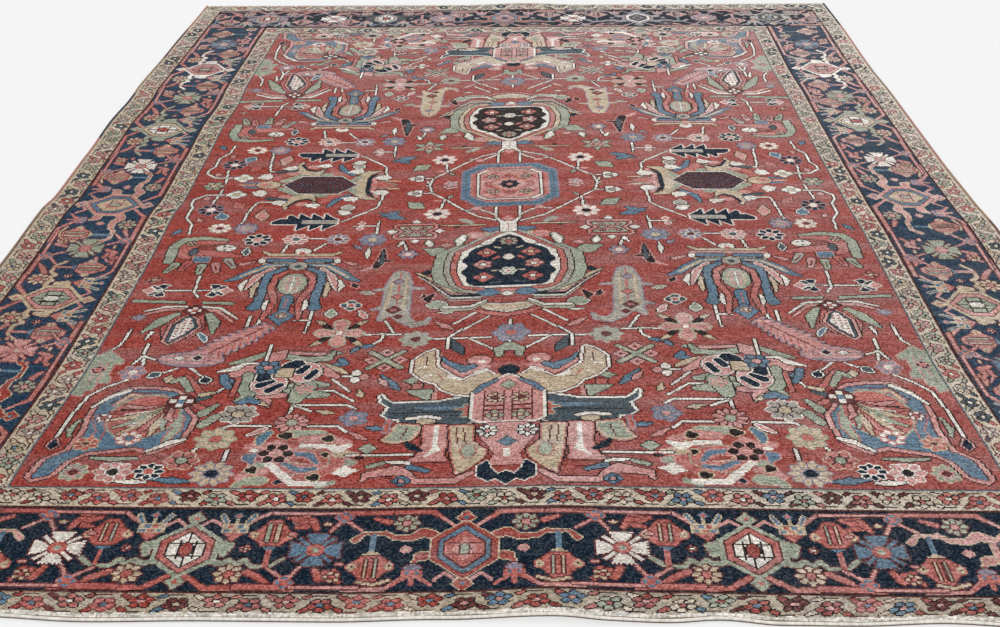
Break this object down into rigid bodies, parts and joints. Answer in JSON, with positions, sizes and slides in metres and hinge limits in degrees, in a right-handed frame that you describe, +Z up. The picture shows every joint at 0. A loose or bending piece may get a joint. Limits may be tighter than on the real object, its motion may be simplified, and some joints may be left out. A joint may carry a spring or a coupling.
{
  "type": "persian rug",
  "caption": "Hand-knotted room-size wool carpet lying flat, with overcast cords along its sides and ends.",
  "frame": {"origin": "middle of the underside, on the surface that the carpet lies on", "axes": "+X across the carpet to the right, +Y along its length away from the front end, +Z up"},
  "size_m": [2.7374, 3.902, 0.0156],
  "materials": {
    "wool_pile": "worn short wool pile, matt",
    "selvedge_wool": "overcast wool yarn, matt",
    "end_cotton": "overcast ivory cotton, matt"
  },
  "bodies": {
    "root": {"rug": "wool_pile", "selvedge_left": "selvedge_wool", "selvedge_right": "selvedge_wool", "end_finish_front": "end_cotton", "end_finish_back": "end_cotton"}
  },
  "joints": []
}
